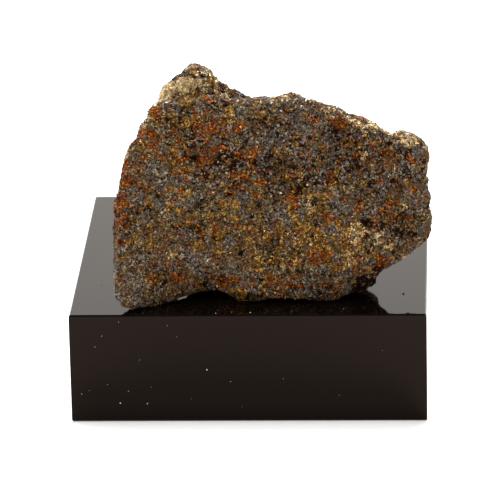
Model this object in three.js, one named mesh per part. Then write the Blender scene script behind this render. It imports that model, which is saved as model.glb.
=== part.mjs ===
// A specimen of cleophane sphalerite: a rough piece of sugary zinc ore, broken out by hammer, that stands on
// a square display block of polished black acrylic. Millimetres, +Z up, the stone's broad face towards -Y.
// The origin is the centre of the block's underside.
import * as THREE from "three";
import { ImprovedNoise } from "three/addons/math/ImprovedNoise.js";
import { mergeVertices } from "three/addons/utils/BufferGeometryUtils.js";

// Display block
const BLOCK_SIDE = 50;
const BLOCK_HEIGHT = 16;
const BLOCK_ARRIS = 0.2;

// The stone's broad face leans back from upright and is turned a little to one side. u runs across that
// face, w runs up it, and d goes into the stone. FACE_CENTRE is where all three are zero.
const FACE_CENTRE = new THREE.Vector3(3, -15.4, 30);
const FACE_LEAN = THREE.MathUtils.degToRad(20);
const FACE_TURN = THREE.MathUtils.degToRad(-2.9);

// The stone's widest line, seen square to the broad face, clockwise from the foot: [u, w, d].
const RIM = [
  [-23.2, -17.4, -1.8], // left foot
  [-22.9, -14.2, -1.4],
  [-21.6, -12.0, 0],
  [-21.9, -9.3, 1.2],
  [-22.7, -6.9, 2],
  [-22.6, -3.4, 2],
  [-22.0, -0.9, 2], // left side
  [-21.2, 2.6, 2],
  [-20.7, 5.1, 2],
  [-19.9, 7.2, 2],
  [-18.7, 8.8, 2],
  [-17.9, 10.5, 2],
  [-17.0, 12.3, 2.2],
  [-15.9, 14.5, 3],
  [-14.9, 16.0, 4.2],
  [-12.8, 18.4, 5.5],
  [-11.1, 18.8, 5.5],
  [-9.9, 20.2, 5.5], // peak
  [-8.6, 19.0, 5.5],
  [-6.8, 16.9, 5],
  [-4.4, 15.1, 3.4],
  [-2.4, 14.4, 2.8],
  [0.5, 13.8, 2.4], // saddle
  [2.1, 14.4, 2.4],
  [3.8, 14.3, 2.4], // hump
  [5.0, 13.6, 2.4],
  [7.0, 13.5, 2.8],
  [9.1, 12.6, 3],
  [11.6, 11.5, 3],
  [13.6, 10.9, 3],
  [15.3, 10.0, 3],
  [17.5, 9.1, 3],
  [19.5, 8.3, 3],
  [21.4, 7.8, 3],
  [22.5, 6.7, 3], // right shoulder
  [22.8, 5.0, 3],
  [22.5, 1.9, 3],
  [22.9, -1.6, 3.4],
  [22.8, -4.5, 4],
  [22.4, -6.7, 3.6], // right corner
  [20.5, -7.8, 3.4],
  [18.2, -9.1, 3.2],
  [16.0, -11.0, 3.6],
  [14.3, -12.3, 4.5],
  [12.5, -13.8, 5.2],
  [10.7, -15.6, 3.2], // belly
  [4.0, -16.2, 1.8],
  [-1.5, -15.8, 1.8],
  [-3.6, -14.4, 1.8],
  [-5.6, -13.3, 1.9],
  [-8.4, -12.9, 1.9], // arch between belly and foot
  [-11.2, -13.3, 1.4],
  [-13.5, -14.4, 0.8],
  [-15.5, -16.4, 0],
  [-18.0, -17.4, -1],
];
const RIM_BEVEL = 0.38; // mm the side draws in for each mm in front of the rim
const RIM_TAPER = 0.24; // and for each mm behind it
const ROUNDING = 0.55; // radius where two faces meet

// Swells and hollows of the broad face: centre, reach along u and w, and depth, positive into the stone.
const FACE_FORMS = [
  { u: -20, w: -16.5, reachU: 5.6, reachW: 4.2, depth: -3.8 }, // foot
  { u: 2.5, w: -13, reachU: 8, reachW: 5, depth: -0.7 }, // belly
  { u: -8.2, w: -13.4, reachU: 4.2, reachW: 2.8, depth: 2.3 }, // arch
  { u: -14.5, w: -3.5, reachU: 7, reachW: 6, depth: -0.8 },
  { u: 8.4, w: -6, reachU: 6, reachW: 4.5, depth: -1 },
  { u: -3, w: -6.5, reachU: 4.5, reachW: 3, depth: 0.6 },
  { u: 10.2, w: 8.4, reachU: 1.5, reachW: 4, depth: 1.1 }, // groove below the right-hand edge
  { u: 17.5, w: 3.5, reachU: 4, reachW: 3.5, depth: -0.5 },
  { u: 18.5, w: -4, reachU: 3, reachW: 3, depth: 0.6 },
];
// Pits where grains have dropped out of the broad face: [u, w, reach, depth].
const PITS = [
  [-9.7, 5.9, 1.1, 0.9],
  [-6.4, 5.6, 0.9, 0.8],
  [-16.1, 7.6, 1, 0.7],
  [-14.8, 11.1, 1, 0.6],
  [-4.9, 12.7, 1.1, 0.6],
  [4.4, 1.3, 0.9, 0.8],
  [-0.9, 3.1, 0.9, 0.6],
  [10.1, 8.4, 1, 0.6],
  [18.6, 6, 1.1, 0.6],
  [11.2, 3, 1.2, 0.6],
  [-11.8, -6.6, 1, 0.6],
  [-9.7, -4.3, 0.9, 0.7],
  [-3.7, -5.4, 1.1, 0.6],
  [8.5, -2.4, 1, 0.8],
  [18.8, -2.4, 1.2, 0.9],
  [14.1, -4, 0.9, 0.8],
  [19.5, -5.4, 1, 0.8],
];
// The shelf that sets the peak back from the face. Its lip is highest at middleU and sags to both sides.
const SHELF = { fromU: -17, toU: -3, middleU: -9.5, lipW: 14.1, sag: 0.035, depth: 3.4, width: 0.9 };
// The low step across the face, whose upper side stands out: the ends of its line, its height and its reach.
const STEP = { fromU: -12, fromW: 7, toU: 8, toW: 4.3, height: 0.6, width: 1.1, reach: 5 };
const END_FADE = 2; // mm over which the shelf and the step fade out at each end of their lines
const TOP_FALL = { from: 6, slope: 0.1 };
const RIGHT_FALL = { from: 10, slope: 0.09 };

// The tip of the foot: its middle and reach, and how far it is drawn out to the left, down and forwards.
const FOOT_TIP = { u: -21.5, w: -14, d: -0.8, reach: 3.6, pull: { u: -1.2, w: -4.3, d: -6.4 } };

// Fracture planes round the hidden back: an outward normal in u, w, d, and its distance from FACE_CENTRE.
const BACK_PLANES = [
  { normal: [0, 0.48, 0.88], distance: 16.6 },
  { normal: [-0.55, 0.12, 0.83], distance: 20.2 },
  { normal: [0.52, 0.2, 0.83], distance: 19.6 },
  { normal: [0.12, -0.6, 0.79], distance: 20.4 },
  { normal: [-0.2, 0.8, 0.57], distance: 21.4 },
];
const BACK_ROUNDING = 1.6;

// Roughness of the break: rounded lumps at three sizes, and flat chips, each tilted its own way.
const LUMPS = [
  { period: 7.5, height: 0.5 },
  { period: 3.4, height: 0.34 },
  { period: 1.8, height: 0.24 },
];
const CHIP = { size: 3.8, tilt: 0.2, height: 0.35, crispness: 8, seed: 11 };
const BACK_COARSENESS = 0.05; // share by which the chips grow for each mm into the stone
// The underside is hollow between the spots that touch the block. The hollows start behind the front edge.
const SOLE = { period: 9, lift: 1.6, bias: 0.1, from: 1.5, to: 5 };
// At both sides it rises towards the back, from this line on the block, so that the stone stands on its
// foot, the right-hand end of its belly and the middle of its back. Each point is [x, y].
const UNDERCUT_LINE = [
  [-17.5, -25],
  [-15.9, -22.5],
  [-13, -20.3],
  [-8.6, -20],
  [-6.2, 4],
  [8.6, 4],
  [18.4, -23.6],
  [19.4, -26.5],
  [20.5, -28],
];
const UNDERCUT_SLOPE = 0.37;

// The skin is a ball of nearly equal triangles, drawn out to this reach along u, w and d, then laid on the
// form. Its corners are moved about on the form until the triangles are even again.
const SKIN_DETAIL = 20;
const SKIN_REACH = { u: 22, w: 16, d: 10 };
const SKIN_MIDDLE = { u: 0.5, w: -0.5, d: 7.5 };
const MARCH_STEP = 0.6;
const HALVINGS = 12;
const EVENING_ROUNDS = 20;
const EVENING_PACE = 0.5;
const SLOPE_SPAN = 0.05;
const LEAST_STEEPNESS = 0.5;
const TOUCHING = 0.02; // mm above the block within which the skin is laid flat on it

const faceIn = new THREE.Vector3(
  Math.sin(FACE_TURN) * Math.cos(FACE_LEAN),
  Math.cos(FACE_TURN) * Math.cos(FACE_LEAN),
  -Math.sin(FACE_LEAN),
);
const faceAcross = new THREE.Vector3(Math.cos(FACE_TURN), -Math.sin(FACE_TURN), 0);
const faceUp = new THREE.Vector3().crossVectors(faceAcross, faceIn);
const noise = new ImprovedNoise();

/** A place in the face's own u, w, d as a point of the part. */
function fromFace({ u, w, d }) {
  return FACE_CENTRE.clone()
    .addScaledVector(faceAcross, u)
    .addScaledVector(faceUp, w)
    .addScaledVector(faceIn, d);
}

/** The larger of two values, with a rounded change from one to the other. */
function roundedMax(a, b, radius) {
  const blend = Math.max(radius - Math.abs(a - b), 0) / radius;
  return Math.max(a, b) + blend * blend * radius * 0.25;
}

/** Distance to the rim line, negative inside it, and the rim's depth, mostly that of its nearest stretch. */
function rimAt(u, w) {
  let nearest = Infinity;
  let depths = 0;
  let shares = 0;
  let inside = false;
  for (let i = 0, j = RIM.length - 1; i < RIM.length; j = i, i += 1) {
    const [u0, w0, d0] = RIM[j];
    const [u1, w1, d1] = RIM[i];
    const along = (u - u0) * (u1 - u0) + (w - w0) * (w1 - w0);
    const t = THREE.MathUtils.clamp(along / ((u1 - u0) ** 2 + (w1 - w0) ** 2), 0, 1);
    const gap = Math.hypot(u - u0 - t * (u1 - u0), w - w0 - t * (w1 - w0));
    const share = 1 / (gap ** 4 + 0.01);
    nearest = Math.min(nearest, gap);
    depths += share * (d0 + t * (d1 - d0));
    shares += share;
    if (w0 > w !== w1 > w && u < u0 + ((w - w0) / (w1 - w0)) * (u1 - u0)) inside = !inside;
  }
  return { distance: inside ? -nearest : nearest, depth: depths / shares };
}

/** Share from 0 to 1 of a rise that runs from one value to another. */
function rise(value, from, to) {
  return THREE.MathUtils.smoothstep(value, from, to);
}

/** 1 between two ends of a line across the face, fading to 0 round each end. */
function between(u, fromU, toU) {
  const half = END_FADE / 2;
  return rise(u, fromU - half, fromU + half) * (1 - rise(u, toU - half, toU + half));
}

/** How far the peak stands back at a place on the face. */
function shelfDepth(u, w) {
  const lip = SHELF.lipW - SHELF.sag * (u - SHELF.middleU) ** 2;
  return SHELF.depth * between(u, SHELF.fromU, SHELF.toU) * rise(w, lip, lip + SHELF.width);
}

/** How far the upper side of the step stands out at a place on the face. */
function stepHeight(u, w) {
  const share = THREE.MathUtils.clamp((u - STEP.fromU) / (STEP.toU - STEP.fromU), 0, 1);
  const line = STEP.fromW + share * (STEP.toW - STEP.fromW);
  const over = rise(w, line - STEP.width / 2, line + STEP.width / 2);
  const fade = Math.exp(-Math.abs(w - line) / STEP.reach);
  return STEP.height * between(u, STEP.fromU, STEP.toU) * over * fade;
}

/** Depth of the broad face at a place on it. */
function faceDepth(u, w) {
  let depth = TOP_FALL.slope * Math.max(0, w - TOP_FALL.from);
  depth += RIGHT_FALL.slope * Math.max(0, u - RIGHT_FALL.from);
  for (const form of FACE_FORMS) {
    depth += form.depth * Math.exp(-(((u - form.u) / form.reachU) ** 2) - ((w - form.w) / form.reachW) ** 2);
  }
  for (const [pitU, pitW, reach, deep] of PITS) {
    depth += deep * Math.exp(-((u - pitU) ** 2 + (w - pitW) ** 2) / reach ** 2);
  }
  return depth + shelfDepth(u, w) - stepHeight(u, w);
}

/** Where the underside starts to rise towards the back, as y for an x. */
function undercutStart(x) {
  const end = UNDERCUT_LINE.length - 1;
  if (x >= UNDERCUT_LINE[end][0]) return UNDERCUT_LINE[end][1];
  const i = Math.max(1, UNDERCUT_LINE.findIndex((point) => point[0] > x));
  const [[x0, y0], [x1, y1]] = [UNDERCUT_LINE[i - 1], UNDERCUT_LINE[i]];
  return y0 + THREE.MathUtils.clamp((x - x0) / (x1 - x0), 0, 1) * (y1 - y0);
}

/** Height of the stone's underside above the block, before roughening. */
function soleLift(u, d, x, y) {
  const hollow = Math.max(0, noise.noise(u / SOLE.period, d / SOLE.period, 0.5) + SOLE.bias);
  const undercut = UNDERCUT_SLOPE * Math.max(0, y - undercutStart(x));
  return Math.max(undercut, SOLE.lift * hollow * rise(d, SOLE.from, SOLE.to));
}

/** The stone's form before roughening: positive outside it, negative inside, and zero on its surface. */
function formField({ u, w, d }) {
  const rim = rimAt(u, w);
  const behind = d - rim.depth;
  const side = rim.distance + (behind < 0 ? -RIM_BEVEL * behind : RIM_TAPER * behind);
  let field = roundedMax(faceDepth(u, w) - d, side, ROUNDING);
  for (const { normal, distance } of BACK_PLANES) {
    field = roundedMax(field, normal[0] * u + normal[1] * w + normal[2] * d - distance, BACK_ROUNDING);
  }
  const { x, y, z } = fromFace({ u, w, d });
  return roundedMax(field, BLOCK_HEIGHT + soleLift(u, d, x, y) - z, ROUNDING);
}

/** The way out of the form at a place, with how steeply the field rises that way. */
function formSlope({ u, w, d }) {
  const slopeU = formField({ u: u + SLOPE_SPAN, w, d }) - formField({ u: u - SLOPE_SPAN, w, d });
  const slopeW = formField({ u, w: w + SLOPE_SPAN, d }) - formField({ u, w: w - SLOPE_SPAN, d });
  const slopeD = formField({ u, w, d: d + SLOPE_SPAN }) - formField({ u, w, d: d - SLOPE_SPAN });
  const length = Math.max(Math.hypot(slopeU, slopeW, slopeD), 1e-9);
  const steepness = length / (2 * SLOPE_SPAN);
  return { u: slopeU / length, w: slopeW / length, d: slopeD / length, steepness };
}

/** A place moved along a direction by a distance. */
function moved(place, way, distance) {
  return { u: place.u + way.u * distance, w: place.w + way.w * distance, d: place.d + way.d * distance };
}

/** Where a ray from the middle of the stone leaves its form. */
function formExit(way) {
  let inner = 0;
  let outer = MARCH_STEP;
  while (formField(moved(SKIN_MIDDLE, way, outer)) < 0) {
    inner = outer;
    outer += MARCH_STEP;
  }
  for (let n = 0; n < HALVINGS; n += 1) {
    const middle = (inner + outer) / 2;
    if (formField(moved(SKIN_MIDDLE, way, middle)) < 0) inner = middle;
    else outer = middle;
  }
  return moved(SKIN_MIDDLE, way, inner);
}

/** A place near the form's surface, laid onto it. */
function laidOn(place) {
  const slope = formSlope(place);
  return moved(place, slope, -formField(place) / Math.max(slope.steepness, LEAST_STEEPNESS));
}

/** A place near the foot moved out with its tip. */
function drawnOut(place) {
  const gap = Math.hypot(place.u - FOOT_TIP.u, place.w - FOOT_TIP.w, place.d - FOOT_TIP.d);
  return moved(place, FOOT_TIP.pull, Math.exp(-((gap / FOOT_TIP.reach) ** 2)));
}

/** A repeatable number from 0 to 1 for each whole-numbered cell. */
function cellNumber(i, j, k, seed) {
  const mixed = Math.sin(i * 127.1 + j * 311.7 + k * 74.7 + seed * 53.3) * 43758.5453;
  return mixed - Math.floor(mixed);
}

/** Height of the flat, tilted chips at a place, each chip the plane of its own cell. */
function chipHeight({ u, w, d }) {
  const cell = [u / CHIP.size, w / CHIP.size, d / CHIP.size];
  const base = cell.map(Math.floor);
  let total = 0;
  let shares = 0;
  for (let n = 0; n < 27; n += 1) {
    const i = base[0] + (n % 3) - 1;
    const j = base[1] + (Math.floor(n / 3) % 3) - 1;
    const k = base[2] + Math.floor(n / 9) - 1;
    const number = (offset) => cellNumber(i, j, k, CHIP.seed + offset);
    const arm = [cell[0] - i - number(0), cell[1] - j - number(1), cell[2] - k - number(2)];
    const share = Math.exp(-CHIP.crispness * (arm[0] ** 2 + arm[1] ** 2 + arm[2] ** 2));
    const tilt = (number(3) - 0.5) * arm[0] + (number(4) - 0.5) * arm[1] + (number(5) - 0.5) * arm[2];
    total += share * (CHIP.height * (number(6) - 0.5) + 2 * CHIP.tilt * CHIP.size * tilt);
    shares += share;
  }
  return (total / shares) * (1 + BACK_COARSENESS * Math.max(0, d));
}

/** Height of the rounded lumps at a place. */
function lumpHeight({ u, w, d }) {
  let total = 0;
  for (const { period, height } of LUMPS) {
    total += height * noise.noise(u / period, w / period, d / period + period);
  }
  return total;
}

/** For each corner of an indexed triangle mesh, the corners that share an edge with it. */
function neighboursOf(index, count) {
  const neighbours = Array.from({ length: count }, () => new Set());
  for (let n = 0; n < index.count; n += 3) {
    const corners = [index.getX(n), index.getX(n + 1), index.getX(n + 2)];
    for (const corner of corners) {
      for (const other of corners) {
        if (other !== corner) neighbours[corner].add(other);
      }
    }
  }
  return neighbours;
}

/** A place drawn towards its neighbours, the farther ones pulling harder, so that triangles even out. */
function evened(place, near) {
  let pulls = 0;
  const step = { u: 0, w: 0, d: 0 };
  for (const other of near) {
    const pull = Math.hypot(other.u - place.u, other.w - place.w, other.d - place.d);
    step.u += pull * (other.u - place.u);
    step.w += pull * (other.w - place.w);
    step.d += pull * (other.d - place.d);
    pulls += pull;
  }
  return moved(place, step, EVENING_PACE / pulls);
}

/** The stone, as one closed skin of flat facets. */
function makeStone() {
  const ball = new THREE.IcosahedronGeometry(1, SKIN_DETAIL);
  ball.deleteAttribute("normal");
  ball.deleteAttribute("uv");
  const skin = mergeVertices(ball, 1e-5);
  const corners = skin.getAttribute("position");
  const neighbours = neighboursOf(skin.index, corners.count);
  let places = [];
  for (let n = 0; n < corners.count; n += 1) {
    const u = corners.getX(n) * SKIN_REACH.u;
    const w = corners.getY(n) * SKIN_REACH.w;
    const d = -corners.getZ(n) * SKIN_REACH.d;
    const length = Math.hypot(u, w, d);
    places.push(formExit({ u: u / length, w: w / length, d: d / length }));
  }
  for (let round = 0; round < EVENING_ROUNDS; round += 1) {
    places = neighbours.map((near, n) => laidOn(evened(places[n], [...near].map((other) => places[other]))));
  }
  places.map(laidOn).forEach((place, n) => {
    const rough = moved(place, formSlope(place), lumpHeight(place) + chipHeight(place));
    const { x, y, z } = fromFace(drawnOut(rough));
    corners.setXYZ(n, x, y, z < BLOCK_HEIGHT + TOUCHING ? BLOCK_HEIGHT : z);
  });
  skin.computeVertexNormals();
  const ore = new THREE.MeshStandardMaterial({ color: 0x5c4833, roughness: 0.6, flatShading: true });
  const mesh = new THREE.Mesh(skin, ore);
  mesh.name = "sphalerite_stone";
  return mesh;
}

/** The black block that the stone lies on, its edges just broken. */
function makeBlock() {
  const half = BLOCK_SIDE / 2 - BLOCK_ARRIS;
  const plan = new THREE.Shape();
  plan.moveTo(-half, -half);
  plan.lineTo(half, -half);
  plan.lineTo(half, half);
  plan.lineTo(-half, half);
  plan.closePath();
  const body = new THREE.ExtrudeGeometry(plan, {
    depth: BLOCK_HEIGHT - 2 * BLOCK_ARRIS,
    bevelThickness: BLOCK_ARRIS,
    bevelSize: BLOCK_ARRIS,
    bevelSegments: 1,
  });
  const acrylic = new THREE.MeshStandardMaterial({ color: 0x0b0908, roughness: 0.05, metalness: 0 });
  const mesh = new THREE.Mesh(body, acrylic);
  mesh.name = "display_block";
  mesh.position.z = BLOCK_ARRIS;
  return mesh;
}

const specimen = new THREE.Group();
specimen.add(makeBlock(), makeStone());

export default specimen;
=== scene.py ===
"""Looks of a rough piece of cleophane sphalerite ore on a square block of black acrylic.

The stone is a fine-grained break through zinc ore: a grey-brown groundmass of crystal grains about
a quarter of a millimetre across, with rusty spots, a honey-coloured zone and a cream ledge. Its skin
is a finely broken copy of the solid, and the grains that make the skin glitter are scattered on it.
"""

import logging
import math
from dataclasses import dataclass
from enum import Enum

import bmesh
import bpy
import numpy as np
from mathutils import Matrix, Vector, noise

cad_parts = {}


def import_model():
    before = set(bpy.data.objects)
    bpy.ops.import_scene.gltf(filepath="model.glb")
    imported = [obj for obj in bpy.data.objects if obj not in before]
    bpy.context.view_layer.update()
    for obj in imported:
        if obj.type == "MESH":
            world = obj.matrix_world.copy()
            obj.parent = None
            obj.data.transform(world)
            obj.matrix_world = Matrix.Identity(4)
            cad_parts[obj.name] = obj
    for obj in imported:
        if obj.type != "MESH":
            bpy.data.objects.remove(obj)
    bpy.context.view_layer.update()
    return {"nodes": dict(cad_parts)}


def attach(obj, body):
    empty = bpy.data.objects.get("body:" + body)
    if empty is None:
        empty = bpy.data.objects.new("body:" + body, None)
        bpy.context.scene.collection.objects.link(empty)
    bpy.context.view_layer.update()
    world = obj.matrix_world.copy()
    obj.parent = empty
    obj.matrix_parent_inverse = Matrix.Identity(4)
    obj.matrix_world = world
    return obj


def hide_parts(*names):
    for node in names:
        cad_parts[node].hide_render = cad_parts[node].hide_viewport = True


LOG = logging.getLogger("sphalerite")
MM = 0.001
BODY = "root"
STONE_NODE = "sphalerite_stone"
BLOCK_NODE = "display_block"
# Where most values of a noise texture lie.
NOISE_RANGE = (0.3, 0.7)

# The broad face's own frame, in mm: u to the right along it, w up it, d into the stone.
FACE_CENTRE = np.array([3.0, -15.4, 30.0])
FACE_LEAN = math.radians(20.0)
FACE_TURN = math.radians(-2.9)
# How far in from the broad face its marks reach, in mm, full and fading to none.
FACE_DEPTH = (7.0, 9.5)
# The block's front face and its top, in mm.
FRONT = -25.0
TOP = 16.0


class Mineral(Enum):
    """The kinds of grain in the ore, each with the name of the attribute that holds its share."""

    GREY = "share_grey"
    TAN = "share_tan"
    BROWN = "share_brown"
    RUST = "share_rust"
    HONEY = "share_honey"
    CREAM = "share_cream"
    BLACK = "share_black"


@dataclass(frozen=True)
class Patch:
    """A mark on the broad face, an ellipse in the face's own millimetres."""

    u: float
    w: float
    half_length: float
    half_width: float
    turn: float = 0.0
    strength: float = 1.0


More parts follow.
